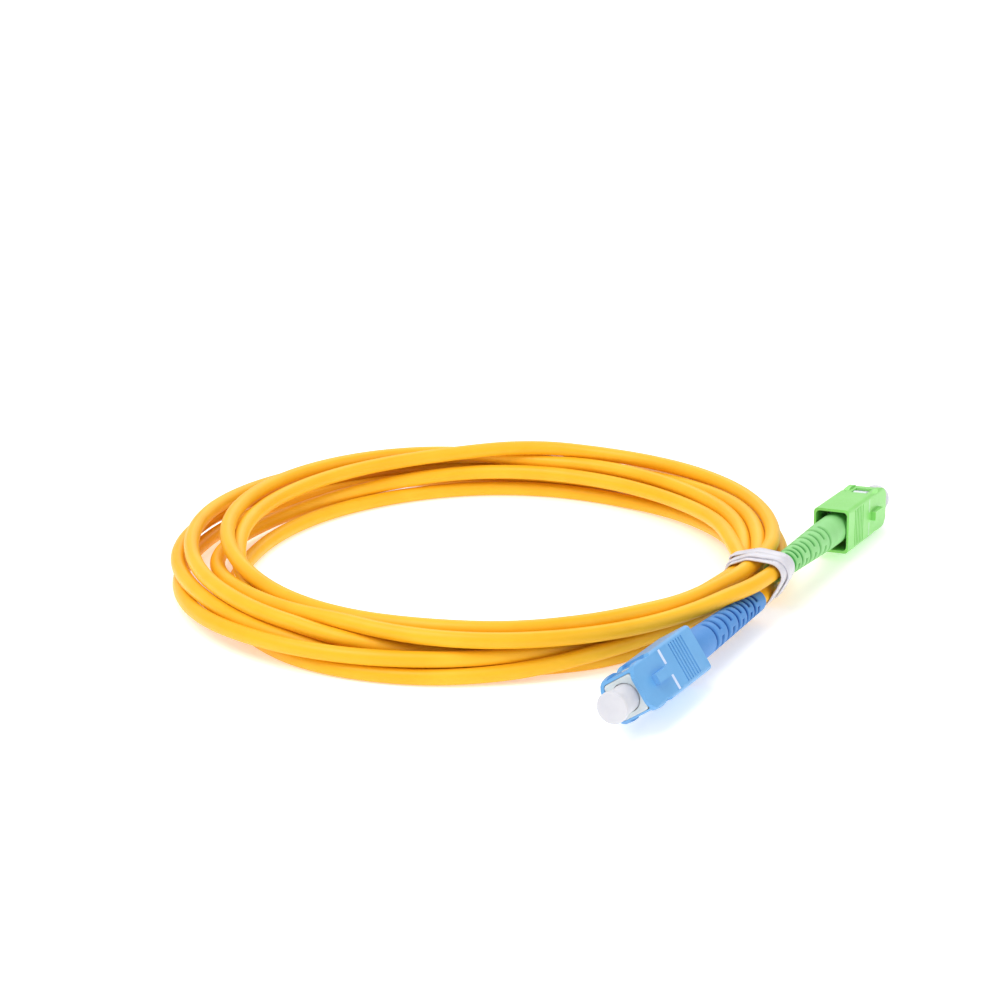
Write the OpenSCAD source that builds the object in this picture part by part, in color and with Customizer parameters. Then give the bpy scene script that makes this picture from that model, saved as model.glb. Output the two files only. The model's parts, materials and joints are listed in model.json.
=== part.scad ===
// Fibre optic patch cord: a simplex cord wound in a flat coil and tied, with a push-pull square
// plug at each end, one flat polished and one angle polished, each under a dust cap.
// Millimetres. +Z is up and the cord lies on Z = 0. The origin is on that floor, under the middle
// of the two plugs. Each plug is drawn in its own frame: X runs from the housing's rear to its
// nose, Y across its wide faces, and +Z towards the face with the key.

/* [Plug housing] */
// Length of the outer housing
housing_length = 25; // [20:0.5:30]
// Width of the outer housing, across the wide faces
housing_width = 9; // [8:0.1:10]
// Height of the outer housing, across the narrow faces
housing_height = 7.4; // [6.5:0.1:8.5]
// Height of the key above its face
key_height = 1; // [0.5:0.1:1.5]
// Number of grip grooves on each wide face
groove_count = 6; // [0:1:8]

/* [Plug inside] */
// Width of the plug frame
frame_width = 6.8; // [6:0.1:7]
// Height of the plug frame
frame_height = 5.8; // [5:0.1:6]
// Radius of the round well in the plug frame's nose
well_radius = 2.62; // [2.4:0.01:2.8]
// Radius of the ferrule
ferrule_radius = 1.249; // [1.2:0.001:1.3]
// Angle of the green plug's polished tip, in degrees
polish_angle = 8; // [0:1:9]

/* [Boot] */
// Length of the boot behind the housing
boot_length = 34; // [32:1:40]
// Radius of the boot at the housing
boot_radius = 3.05; // [2.8:0.05:3.2]
// Radius of the boot at its thin end
boot_tip_radius = 2.3; // [2:0.1:2.6]

/* [Dust cap] */
// Radius of the dust cap's body
cap_radius = 2.5; // [2.3:0.01:2.6]
// Radius of the dust cap's head
cap_head_radius = 2.85; // [2.6:0.05:3.2]
// How far the dust cap stands out of the housing
cap_reach = 5.3; // [3:0.1:8]

/* [Cord] */
// Diameter of the cord's jacket
cord_diameter = 3; // [2:0.1:3.2]
// Mean radius of the coil
coil_radius = 54.2; // [50:0.1:60]
// Width of the coil's section
coil_width = 6.6; // [6:0.1:12]
// Height of the coil's section
coil_height = 12; // [6:0.5:16]

/* [Hidden] */
$fn = 48;
jacket_radius = cord_diameter / 2;
coil_middle = [-53.2, 21.4, 0];
// The coil bulges a little away from the tie.
coil_shift = [-3, 0, 0];

// Where each plug lies: [rear middle from the coil's middle, yaw, pitch, roll].
blue_lie = [[36.6, -54.2, 5.85], 242.6, 2, -54.8];
green_lie = [[70.6, 11.1, 6.4], 64.5, -4, 88];
boot_turn = -12;

// Stations along a plug, from the housing's rear.
mouth_depth = 6.5;
boot_front = 4.2;
barrel_rear = -0.8;
collar_rear = 4.6;
frame_rear = 7.2;
spring_seat = 9;
flange_rear = 14.5;
flange_front = 17;
web_front = 18.3;
frame_front = 24.6;
ferrule_tip = 25;
cap_rear = 20.6;
window_rear = 16.6;
window_front = 21.6;
window_height = 3.4;
recess_rear = 15.5;
recess_height = 4.8;
side_wall = 0.45;
key_rear = 14.8;
key_width = 1.8;
key_front = 20;
groove_start = 4.1;
groove_pitch = 1.03;
jacket_end = -0.9;
crimp_rear = -4.5;

// Slots of the boot, as distances behind the housing: the first list is open towards the wide
// faces, and the second towards the narrow ones.
wide_slots = [8.8, 14.4, 19.7, 24.2, 28.1];
narrow_slots = [11.5, 17, 21.9, 26.1, 30];
slot_width = 0.7;

// The tails between boots and coil: [along the boots' line, out from the coil's middle, up].
tie_line = 63.4;
blue_tail_points = [[8, 58.3, 4.1], [16, 56.3, 3.4], [24, 52.8, 3.4], [31, 47.8, 4],
    [37, 41.6, 4.6], [41, 36.6, 5]];
green_tail_points = [[2, 58.8, 9.1], [-6, 57.7, 9.4], [-13, 55.2, 9.2], [-20, 51.4, 8.6],
    [-26, 47, 8]];

// ---- Small helpers ----

function unit(v) = v / norm(v);
function turned(a, v) = [v[0] * cos(a) - v[1] * sin(a), v[0] * sin(a) + v[1] * cos(a), v[2]];
function pitched(p, v) = [v[0] * cos(p) - v[2] * sin(p), v[1], v[0] * sin(p) + v[2] * cos(p)];
// A point on a plug's own X axis, in the row's frame.
function on_axis(lie, x) = coil_middle + lie[0] + turned(lie[1], pitched(lie[2], [x, 0, 0]));
// A point given along and out from the boots' line, in the row's frame.
function by_line(p) = coil_middle
    + [p[1] * cos(tie_line - 90) + p[0] * cos(tie_line),
       p[1] * sin(tie_line - 90) + p[0] * sin(tie_line), p[2]];

function rounded(w, h, r) = [for (c = [[1, 1, 0], [-1, 1, 90], [-1, -1, 180], [1, -1, 270]],
    k = [0:4]) [c[0] * (w / 2 - r) + r * cos(c[2] + k * 22.5),
                c[1] * (h / 2 - r) + r * sin(c[2] + k * 22.5)]];

// A bar along X with rounded long edges.
module bar(x0, x1, w, h, r)
    translate([x0, 0, 0]) rotate([90, 0, 90]) linear_extrude(x1 - x0)
        polygon(rounded(w, h, r));

// A round rod along X.
module rod(x0, x1, r) translate([x0, 0, 0]) rotate([0, 90, 0]) cylinder(h = x1 - x0, r = r);

// A rod along X whose radius goes from r0 to r1.
module taper(x0, x1, r0, r1)
    translate([x0, 0, 0]) rotate([0, 90, 0]) cylinder(h = x1 - x0, r1 = r0, r2 = r1);

// A tube swept along points, with plain sides.
module sweep(points, r, sides) {
    n = len(points);
    ways = [for (i = [0:n - 1]) unit(points[min(i + 1, n - 1)] - points[max(i - 1, 0)])];
    rings = [for (i = [0:n - 1]) let (s = unit(cross(ways[i], [0.02, 0.01, 1])),
        u = cross(s, ways[i])) for (k = [0:sides - 1])
        points[i] + r * (cos(k * 360 / sides) * s + sin(k * 360 / sides) * u)];
    skin = [for (i = [0:n - 2], k = [0:sides - 1]) let (a = i * sides + k,
        b = i * sides + (k + 1) % sides) each [[a, b, b + sides], [a, b + sides, a + sides]]];
    polyhedron(points = rings, faces = concat(
        [[for (k = [sides - 1:-1:0]) k]], skin, [[for (k = [0:sides - 1]) (n - 1) * sides + k]]));
}

module lay(lie) translate(coil_middle + lie[0]) rotate([lie[3], -lie[2], lie[1]]) children();

// ---- One plug's pieces, in its own frame ----

module housing_shape() {
    half = housing_width / 2;
    thin_side = frame_width / 2 + 0.08 + side_wall;
    difference() {
        union() {
            bar(0, housing_length, housing_width, housing_height, 0.8);
            translate([key_rear, -key_width / 2, housing_height / 2 - 0.3])
                cube([key_front - key_rear, key_width, key_height + 0.3]);
        }
        bar(-1, mouth_depth, housing_width - 1.1, housing_height - 0.9, 0.8);
        bar(mouth_depth - 0.1, housing_length + 1, frame_width + 0.16, frame_height + 0.16, 0.5);
        bar(window_rear, window_front, housing_width + 2, window_height, 0.2);
        // The narrow walls are set back around the latch windows, and so are thin to the nose.
        for (s = [-1, 1]) translate([recess_rear, s > 0 ? thin_side : -thin_side - 2,
            -recess_height / 2]) cube([housing_length, 2, recess_height]);
        // The wide walls' edges dip over the latch windows and round off at the nose.
        for (s = [-1, 1]) scale([1, s, 1]) translate([0, 0, -6]) linear_extrude(12)
            polygon([[16.2, half + 0.1], [17, half - 0.55], [18.6, half - 0.55],
                [20.2, half - 0.1], [21.8, half - 0.1], [23, half - 0.35], [24, half - 0.9],
                [24.7, half - 1.6], [25.1, half - 2.4], [25.1, half + 0.1]]);
        for (s = [-1, 1], i = [0:groove_count - 1])
            translate([groove_start + i * groove_pitch, -3.7, s > 0 ? housing_height / 2 - 0.25
                : -housing_height / 2 - 0.25]) cube([0.35, 7.4, 0.5]);
    }
}

module plug_frame_shape() difference() {
    union() {
        bar(frame_rear, frame_front, frame_width, frame_height, 0.7);
        for (s = [-1, 1]) scale([1, s, 1]) translate([0, 0, -1.4]) linear_extrude(2.8)
            polygon([[17, frame_width / 2 - 0.3], [17, frame_width / 2],
                [18.9, frame_width / 2 + 0.5], [19.3, frame_width / 2 + 0.5],
                [19.3, frame_width / 2 - 0.3]]);
    }
    rod(web_front, frame_front + 1, well_radius);
    rod(flange_front, web_front + 1, 1.35);
    rod(frame_rear - 1, flange_front + 0.1, 2.3);
}

module ferrule_shape(angle) difference() {
    rod(flange_rear + 0.1, ferrule_tip, ferrule_radius);
    if (angle > 0) translate([ferrule_tip, 0, -ferrule_radius]) rotate([0, -angle, 0])
        translate([0, -3, -3]) cube([3, 6, 9]);
}

module ferrule_flange_shape() difference() {
    union() {
        rod(flange_rear, flange_front - 0.05, 2.2);
        rod(6.4, flange_rear + 0.1, 1.05);
    }
    rod(flange_rear + 0.1, flange_front + 1, ferrule_radius);
    rod(5, flange_rear + 1, 0.5);
}

module spring_shape() sweep([for (i = [0:50]) let (a = i * 36)
    [spring_seat + 0.35 + i * (flange_rear - spring_seat - 0.7) / 50, 1.6 * cos(a),
     1.6 * sin(a)]], 0.25, 6);

module stop_ring_shape() difference() {
    union() {
        rod(frame_rear - 0.1, spring_seat, 2.28);
        rod(collar_rear, frame_rear, 2.75);
        rod(barrel_rear, collar_rear + 0.1, 1.6);
    }
    rod(barrel_rear - 1, spring_seat + 1, 1.15);
}

module crimp_ring_shape() difference() {
    union() {
        taper(-1.1, -0.6, 2, 2.3);
        rod(-0.6, 4.4, 2.3);
        rod(crimp_rear, -1.1, 2);
    }
    rod(jacket_end, 5, 1.9);
    rod(crimp_rear - 1, 0, 1.52);
}

module aramid_shape() difference() {
    rod(barrel_rear, 4.3, 1.88);
    rod(barrel_rear - 1, 5, 1.61);
}

module buffer_shape() rod(jacket_end, flange_rear, 0.45);

module boot_slot(d, across) difference() {
    rod(-d - slot_width / 2, -d + slot_width / 2, 5);
    rod(-d - 1, -d + 1, 1.9);
    rotate([across ? 0 : 90, 0, 0]) translate([-d - 1, -6, -0.6]) cube([2, 12, 1.2]);
}

module boot_shape() rotate([boot_turn, 0, 0]) difference() {
    union() {
        rod(-0.5, boot_front, boot_radius);
        taper(-6, -0.5, boot_radius - 0.05, boot_radius);
        taper(-boot_length, -6, boot_tip_radius, boot_radius - 0.05);
    }
    rod(-1.2, boot_front + 1, 2.35);
    rod(crimp_rear - 0.2, -1, 2.35);
    rod(-boot_length - 1, 0, jacket_radius + 0.06);
    for (d = wide_slots) boot_slot(d, true);
    for (d = narrow_slots) boot_slot(d, false);
}

module dust_cap_shape() difference() {
    union() {
        rod(cap_rear, housing_length + cap_reach - 0.5, cap_radius);
        rod(housing_length + cap_reach - 1.2, housing_length + cap_reach, cap_head_radius);
    }
    rod(cap_rear - 1, ferrule_tip + 1.6, ferrule_radius + 0.021);
}

// ---- The cord ----

// The coil is one solid of its outer shape, with room for the boot that lies against it.
module cord_coil() color([0.98, 0.72, 0.2]) difference() {
    translate(coil_middle + coil_shift) rotate_extrude($fn = 120)
        translate([coil_radius, coil_height / 2]) polygon(rounded(coil_width, coil_height, 2));
    lay(blue_lie) taper(-boot_length - 0.3, -5, boot_tip_radius + 0.3, boot_radius + 0.3);
}

module blue_tail() color([0.98, 0.72, 0.2]) sweep(concat(
    [for (x = [jacket_end, -8, -15, -22, -28, -boot_length]) on_axis(blue_lie, x)],
    [for (p = blue_tail_points) by_line(p)]), jacket_radius, 8);

module green_tail() color([0.98, 0.72, 0.2]) sweep(concat(
    [for (x = [jacket_end, -8, -15, -22, -28, -boot_length]) on_axis(green_lie, x)],
    [for (p = green_tail_points) by_line(p)]), jacket_radius, 8);

// ---- The tie: two flat bands round the coil, the tail and the green boot's end ----

module tie_band(along, lean) color([0.88, 0.87, 0.92, 0.8]) translate(by_line([along, 56.6, 6.4]))
    rotate([0, 0, tie_line]) rotate([0, lean, 0]) difference() {
        bar(-0.9, 0.9, 13.2, 12.8, 4);
        bar(-2, 2, 12.2, 11.8, 3.5);
    }
module tie_band_near() tie_band(6.2, 0);
module tie_band_far() tie_band(10.4, 0);

// ---- Blue plug: flat polish ----

module blue_housing() color([0.36, 0.63, 0.9]) lay(blue_lie) housing_shape();
module blue_plug_frame() color([0.9, 0.92, 0.94]) lay(blue_lie) plug_frame_shape();
module blue_ferrule() color([0.96, 0.95, 0.92]) lay(blue_lie) ferrule_shape(0);
module blue_ferrule_flange() color([0.8, 0.8, 0.82]) lay(blue_lie) ferrule_flange_shape();
module blue_spring() color([0.7, 0.7, 0.72]) lay(blue_lie) spring_shape();
module blue_stop_ring() color([0.75, 0.76, 0.78]) lay(blue_lie) stop_ring_shape();
module blue_crimp_ring() color([0.85, 0.7, 0.4]) lay(blue_lie) crimp_ring_shape();
module blue_aramid() color([0.92, 0.82, 0.4]) lay(blue_lie) aramid_shape();
module blue_buffer() color([0.95, 0.95, 0.95]) lay(blue_lie) buffer_shape();
module blue_boot() color([0.37, 0.58, 0.9]) lay(blue_lie) boot_shape();
module blue_dust_cap() color([0.93, 0.93, 0.95]) lay(blue_lie) dust_cap_shape();

// ---- Green plug: angled polish ----

module green_housing() color([0.55, 0.88, 0.45]) lay(green_lie) housing_shape();
module green_plug_frame() color([0.9, 0.92, 0.94]) lay(green_lie) plug_frame_shape();
module green_ferrule() color([0.96, 0.95, 0.92]) lay(green_lie) ferrule_shape(polish_angle);
module green_ferrule_flange() color([0.8, 0.8, 0.82]) lay(green_lie) ferrule_flange_shape();
module green_spring() color([0.7, 0.7, 0.72]) lay(green_lie) spring_shape();
module green_stop_ring() color([0.75, 0.76, 0.78]) lay(green_lie) stop_ring_shape();
module green_crimp_ring() color([0.85, 0.7, 0.4]) lay(green_lie) crimp_ring_shape();
module green_aramid() color([0.92, 0.82, 0.4]) lay(green_lie) aramid_shape();
module green_buffer() color([0.95, 0.95, 0.95]) lay(green_lie) buffer_shape();
module green_boot() color([0.58, 0.86, 0.58]) lay(green_lie) boot_shape();
module green_dust_cap() color([0.93, 0.93, 0.95]) lay(green_lie) dust_cap_shape();

cord_coil();
blue_tail();
green_tail();
tie_band_near();
tie_band_far();
blue_housing();
blue_plug_frame();
blue_ferrule();
blue_ferrule_flange();
blue_spring();
blue_stop_ring();
blue_crimp_ring();
blue_aramid();
blue_buffer();
blue_boot();
blue_dust_cap();
green_housing();
green_plug_frame();
green_ferrule();
green_ferrule_flange();
green_spring();
green_stop_ring();
green_crimp_ring();
green_aramid();
green_buffer();
green_boot();
green_dust_cap();
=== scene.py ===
"""Looks for a coiled fibre optic patch cord: jacket, tie, two square plugs, boots and caps.

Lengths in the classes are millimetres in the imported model's frame, and meshes are written in
metres. Each plug is drawn in its own frame: X runs from the housing's rear to its nose, Y across
its wide faces, and +Z towards the face with the key.
"""

import json
import logging
import math
from collections.abc import Iterable
from dataclasses import dataclass, field
from enum import Enum

import bpy
import numpy as np
from mathutils import Matrix, Vector


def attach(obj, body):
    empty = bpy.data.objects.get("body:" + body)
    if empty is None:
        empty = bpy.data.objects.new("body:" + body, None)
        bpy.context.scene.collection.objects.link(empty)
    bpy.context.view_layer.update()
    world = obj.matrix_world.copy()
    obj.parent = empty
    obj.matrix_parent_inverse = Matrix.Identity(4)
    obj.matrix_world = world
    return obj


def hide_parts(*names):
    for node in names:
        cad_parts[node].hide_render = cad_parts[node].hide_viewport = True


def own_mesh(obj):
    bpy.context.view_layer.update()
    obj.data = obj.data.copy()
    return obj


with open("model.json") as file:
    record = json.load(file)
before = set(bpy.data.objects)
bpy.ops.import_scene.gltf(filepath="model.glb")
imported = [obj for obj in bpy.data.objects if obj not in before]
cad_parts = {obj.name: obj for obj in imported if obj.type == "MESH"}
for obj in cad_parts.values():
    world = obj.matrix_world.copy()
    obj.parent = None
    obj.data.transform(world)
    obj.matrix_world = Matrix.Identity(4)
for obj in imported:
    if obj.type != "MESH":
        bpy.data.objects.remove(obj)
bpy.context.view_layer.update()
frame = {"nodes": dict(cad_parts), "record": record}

LOG = logging.getLogger("patch_cord")
MM = 0.001
COIL_MIDDLE = (-53.2, 21.4, 0.0)
CORD_BODY = "cord"
CORD_DIAMETER = 3.0
# The point attribute that masks the painted shade in the boots' slots.
SLOT_SHADE_DEPTH = "slot_shade_depth"
LEAST_GAP = 1e-4
Colour = tuple[float, float, float]
Point = tuple[float, float, float]


# ---- Finishes ----

BASE_IOR = 1.48
COAT_ROUGHNESS = 0.15
GLOW_WEIGHT = 0.25
GLOW_SPREAD = (1.0, 0.8, 0.6)
NOISE_ROUGHNESS = 0.55
EXTRUDED_STRETCH = 0.03
PALING = 0.15


class Grain(Enum):
    """The fine surface that a finish has."""

    MOULDED = "moulded"
    EXTRUDED = "extruded"
    TURNED = "turned"


@dataclass(frozen=True)
class Finish:
    """One finish: its colours, gloss and fine surface, as a material of nodes."""

    name: str
    slot: str
    colour: Colour
    shade: Colour
    grain: Grain = Grain.MOULDED
    roughness: float = 0.4
    rough_spread: float = 0.08
    metallic: float = 0.0
    relief: float = 0.02
    grain_size: float = 0.35
    patch_size: float = 6.0
    wear: float = 0.0
    glow_depth: float = 0.0
    coat: float = 0.0
    sheen: float = 0.0
    gloss: float = 0.5
    # painted shade: the dark colour laid into recesses such as the boots' slots, where their walls
    # would shadow them
    slot_shade: Colour | None = None

    def material(self) -> bpy.types.Material:
        """Make the finish's material, or find it if it is already made.

        Returns:
            The material.
        """
        made = bpy.data.materials.get(self.name)
        if made:
            return made
        made = bpy.data.materials.new(self.name)
        made.use_nodes = True
        tree = made.node_tree
        shader = tree.nodes["Principled BSDF"]
        shader.inputs["Metallic"].default_value = self.metallic
        shader.inputs["Coat Weight"].default_value = self.coat
        shader.inputs["Coat Roughness"].default_value = COAT_ROUGHNESS
        shader.inputs["Sheen Weight"].default_value = self.sheen
        shader.inputs["Specular IOR Level"].default_value = self.gloss
        shader.inputs["IOR"].default_value = BASE_IOR
        if self.glow_depth > 0:
            shader.inputs["Subsurface Weight"].default_value = GLOW_WEIGHT
            shader.inputs["Subsurface Radius"].default_value = GLOW_SPREAD
            shader.inputs["Subsurface Scale"].default_value = self.glow_depth * MM
        where = tree.nodes.new("ShaderNodeTexCoord").outputs["Object"]
        colour = self._colour(tree, where)
        tree.links.new(colour, shader.inputs["Base Color"])
        fine = self._fine(tree, where)
        self._roughness(tree, fine, shader)
        self._bump(tree, where, fine, shader)
        return made

    def _noise(
        self, tree: bpy.types.NodeTree, where: bpy.types.NodeSocket, size: float, detail: float
    ) -> bpy.types.NodeSocket:
        """Add a noise.

        Args:
            tree: The material's node tree.
            where: The socket that says where on the piece.
            size: The size of one blotch, in mm.
            detail: How many finer layers the noise has.

        Returns:
            The noise's value, about 0.3 to 0.7.
        """
        noise = tree.nodes.new("ShaderNodeTexNoise")
        noise.inputs["Scale"].default_value = 1 / (size * MM)
        noise.inputs["Detail"].default_value = detail
        noise.inputs["Roughness"].default_value = NOISE_ROUGHNESS
        tree.links.new(where, noise.inputs["Vector"])
        return noise.outputs["Fac"]

    def _ramp(
        self, tree: bpy.types.NodeTree, value: bpy.types.NodeSocket, low: float, high: float,
        to_low: float, to_high: float,
    ) -> bpy.types.NodeSocket:
        """Add a clamped change of range.

        Args:
            tree: The material's node tree.
            value: The value to change.
            low: The value that becomes to_low.
            high: The value that becomes to_high.
            to_low: The lowest result.
            to_high: The highest result.

        Returns:
            The changed value.
        """
        span = tree.nodes.new("ShaderNodeMapRange")
        span.inputs["From Min"].default_value = low
        span.inputs["From Max"].default_value = high
        span.inputs["To Min"].default_value = to_low
        span.inputs["To Max"].default_value = to_high
        tree.links.new(value, span.inputs["Value"])
        return span.outputs["Result"]

    def _blend(
        self, tree: bpy.types.NodeTree, amount: bpy.types.NodeSocket,
        first: Colour | bpy.types.NodeSocket, second: Colour,
    ) -> bpy.types.NodeSocket:
        """Add a mix of two colours.

        Args:
            tree: The material's node tree.
            amount: How much of the second colour, 0 to 1.
            first: The first colour, or a socket that gives it.
            second: The second colour.

        Returns:
            The mixed colour.
        """
        mix = tree.nodes.new("ShaderNodeMix")
        mix.data_type = "RGBA"
        if isinstance(first, tuple):
            mix.inputs[6].default_value = (*first, 1)
        else:
            tree.links.new(first, mix.inputs[6])
        mix.inputs[7].default_value = (*second, 1)
        tree.links.new(amount, mix.inputs[0])
        return mix.outputs[2]

    def _colour(
        self, tree: bpy.types.NodeTree, where: bpy.types.NodeSocket
    ) -> bpy.types.NodeSocket:
        """Add the colour: soft patches of the shade tone, pale rubbed edges where there is wear, and
        painted shade deep in the boots' slots.

        Args:
            tree: The material's node tree.
            where: The socket that says where on the piece.

        Returns:
            The colour.
        """
        patches = self._ramp(tree, self._noise(tree, where, self.patch_size, 4), 0.35, 0.65, 0, 1)
        colour = self._blend(tree, patches, self.colour, self.shade)
        if self.wear > 0:
            edges = tree.nodes.new("ShaderNodeNewGeometry").outputs["Pointiness"]
            rubbed = self._ramp(tree, edges, 0.52, 0.6, 0, self.wear)
            pale = tuple((1 - PALING) * c + PALING for c in self.colour)
            colour = self._blend(tree, rubbed, colour, pale)
        # Painted shade: mix towards the dark colour where the slot-depth attribute says the surface
        # lies deep in a slot.
        if self.slot_shade:
            depth = tree.nodes.new("ShaderNodeAttribute")
            depth.attribute_name = SLOT_SHADE_DEPTH
            deep = self._ramp(tree, depth.outputs["Fac"], 0.15, 0.6, 0, 1)
            colour = self._blend(tree, deep, colour, self.slot_shade)
        return colour

    def _fine(
        self, tree: bpy.types.NodeTree, where: bpy.types.NodeSocket
    ) -> bpy.types.NodeSocket:
        """Add the fine grain: even specks, or lines drawn out along or around the piece.

        Args:
            tree: The material's node tree.
            where: The socket that says where on the piece.

        Returns:
            The grain's height, about 0 to 1.
        """
        if self.grain is Grain.MOULDED:
            return self._noise(tree, where, self.grain_size, 5)
        if self.grain is Grain.EXTRUDED:
            where = tree.nodes.new("ShaderNodeTexCoord").outputs["UV"]
        stretch = tree.nodes.new("ShaderNodeMapping")
        size = self.grain_size * MM
        reach = EXTRUDED_STRETCH if self.grain is Grain.EXTRUDED else 1.0
        stretch.inputs["Scale"].default_value = (reach / size, 1 / size, 1 / size)
        tree.links.new(where, stretch.inputs["Vector"])
        noise = tree.nodes.new("ShaderNodeTexNoise")
        noise.inputs["Scale"].default_value = 1.0
        noise.inputs["Detail"].default_value = 3
        tree.links.new(stretch.outputs["Vector"], noise.inputs["Vector"])
        return noise.outputs["Fac"]

    def _roughness(
        self, tree: bpy.types.NodeTree, fine: bpy.types.NodeSocket, shader: bpy.types.Node
    ) -> None:
        """Vary the roughness with the grain.

        Args:
            tree: The material's node tree.
            fine: The grain's height.
            shader: The shader to set.
        """
        low, high = self.roughness - self.rough_spread, self.roughness + self.rough_spread
        tree.links.new(self._ramp(tree, fine, 0.3, 0.7, low, high), shader.inputs["Roughness"])

    def _bump(
        self, tree: bpy.types.NodeTree, where: bpy.types.NodeSocket, fine: bpy.types.NodeSocket,
        shader: bpy.types.Node,
    ) -> None:
        """Add the grain's bump over a broad, shallow unevenness.

        Args:
            tree: The material's node tree.
            where: The socket that says where on the piece.
            fine: The grain's height.
            shader: The shader to set.
        """
        normal = None
        for height, depth in ((self._noise(tree, where, 9 * self.grain_size, 2), 2), (fine, 1)):
            bump = tree.nodes.new("ShaderNodeBump")
            bump.inputs["Strength"].default_value = 1.0
            bump.inputs["Distance"].default_value = depth * self.relief * MM
            tree.links.new(height, bump.inputs["Height"])
            if normal:
                tree.links.new(normal, bump.inputs["Normal"])
            normal = bump.outputs["Normal"]
        tree.links.new(normal, shader.inputs["Normal"])


JACKET = Finish(
    "cord_jacket", "cord", (0.93, 0.475, 0.010), (0.98, 0.53, 0.022), Grain.EXTRUDED,
    roughness=0.42, rough_spread=0.07, relief=0.012, grain_size=0.5, patch_size=14.0,
    gloss=0.35,
)
TIE_FILM = Finish(
    "tie_film", "tie", (0.66, 0.645, 0.70), (0.73, 0.71, 0.76), roughness=0.34,
    relief=0.010, grain_size=1.2, patch_size=2.5, glow_depth=0.5, gloss=0.5,
)
BLUE_SHELL = Finish(
    "blue_shell", "blue_housing", (0.13, 0.385, 0.73), (0.15, 0.415, 0.77), roughness=0.36,
    relief=0.008, grain_size=0.3, patch_size=7.0, wear=0.25, coat=0.05, gloss=0.4,
)
GREEN_SHELL = Finish(
    "green_shell", "green_housing", (0.25, 0.70, 0.155), (0.28, 0.74, 0.185), roughness=0.36,
    relief=0.008, grain_size=0.3, patch_size=7.0, wear=0.25, coat=0.05, gloss=0.4,
)
# Each rubber's last colour is painted shade, laid dark into the slots where their walls would shadow
# them.
BLUE_RUBBER = Finish(
    "blue_rubber", "blue_boot", (0.085, 0.27, 0.63), (0.10, 0.30, 0.68), roughness=0.55,
    relief=0.015, grain_size=0.22, patch_size=5.0, gloss=0.3, slot_shade=(0.004, 0.07, 0.36),
)
GREEN_RUBBER = Finish(
    "green_rubber", "green_boot", (0.28, 0.66, 0.24), (0.32, 0.71, 0.28), roughness=0.55,
    relief=0.015, grain_size=0.22, patch_size=5.0, gloss=0.3, slot_shade=(0.04, 0.33, 0.06),
)
WHITE_FRAME = Finish(
    "white_frame", "frame", (0.62, 0.69, 0.71), (0.68, 0.74, 0.76), roughness=0.36,
    relief=0.008, grain_size=0.3, glow_depth=0.4, gloss=0.4,
)
CAP_SOFT = Finish(
    "soft_cap", "cap", (0.64, 0.64, 0.69), (0.69, 0.69, 0.73), roughness=0.46,
    relief=0.012, grain_size=0.4, patch_size=2.5, glow_depth=0.6, gloss=0.4,
)
CERAMIC = Finish(
    "white_ceramic", "ferrule", (0.78, 0.76, 0.70), (0.82, 0.80, 0.75), roughness=0.12,
    rough_spread=0.04, relief=0.003, grain_size=0.2, coat=0.3,
)
NICKEL = Finish(
    "nickel_plate", "nickel", (0.66, 0.65, 0.62), (0.74, 0.73, 0.70), Grain.TURNED,
    roughness=0.24, metallic=1.0, relief=0.006, grain_size=0.15,
)
SPRING_STEEL = Finish(
    "spring_steel", "steel", (0.52, 0.52, 0.54), (0.62, 0.62, 0.63), Grain.TURNED,
    roughness=0.3, metallic=1.0, relief=0.006, grain_size=0.12,
)
CRIMP_METAL = Finish(
    "crimp_metal", "crimp", (0.70, 0.52, 0.22), (0.78, 0.60, 0.30), Grain.TURNED,
    roughness=0.32, metallic=1.0, relief=0.01, grain_size=0.2,
)
YARN = Finish(
    "aramid_yarn", "aramid", (0.80, 0.60, 0.12), (0.90, 0.74, 0.26), roughness=0.6,
    relief=0.06, grain_size=0.15, patch_size=0.8, sheen=0.4,
)
TIGHT_BUFFER = Finish(
    "tight_buffer", "buffer", (0.80, 0.80, 0.79), (0.86, 0.86, 0.85), roughness=0.38,
    relief=0.005, grain_size=0.2, glow_depth=0.4,
)
WHITE_INK = Finish(
    "white_ink", "frame", (0.62, 0.72, 0.95), (0.68, 0.77, 0.98), roughness=0.5,
    relief=0.008, grain_size=0.12, patch_size=0.7, gloss=0.3,
)
GREEN_INK = Finish(
    "green_ink", "frame", (0.42, 0.74, 0.38), (0.48, 0.78, 0.44), roughness=0.5,
    relief=0.008, grain_size=0.12, patch_size=0.7, gloss=0.3,
)


# ---- Placing and meshes ----


@dataclass(frozen=True)
class Lie:
    """Where a plug lies: its rear middle from the coil's middle in mm, and angles in degrees."""

    rear: Point
    yaw: float
    pitch: float
    roll: float

    def matrix(self) -> Matrix:
        """Work out how to place the plug.

        Returns:
            The change from the plug's own millimetres to the model's metres.
        """
        place = Vector(self.rear) + Vector(COIL_MIDDLE)
        turn = Matrix.Rotation(math.radians(self.yaw), 4, "Z")
        turn = turn @ Matrix.Rotation(math.radians(-self.pitch), 4, "Y")
        turn = turn @ Matrix.Rotation(math.radians(self.roll), 4, "X")
        return Matrix.Scale(MM, 4) @ Matrix.Translation(place) @ turn

    def along(self, x: float) -> np.ndarray:
        """Return a point on the plug's X axis, in mm from the coil's middle.

        Args:
            x: How far along, from the housing's rear.

        Returns:
            The point.
        """
        yaw, pitch = math.radians(self.yaw), math.radians(self.pitch)
        level = math.cos(pitch)
        heading = (level * math.cos(yaw), level * math.sin(yaw), math.sin(pitch))
        return np.array(self.rear) + x * np.array(heading)


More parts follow.
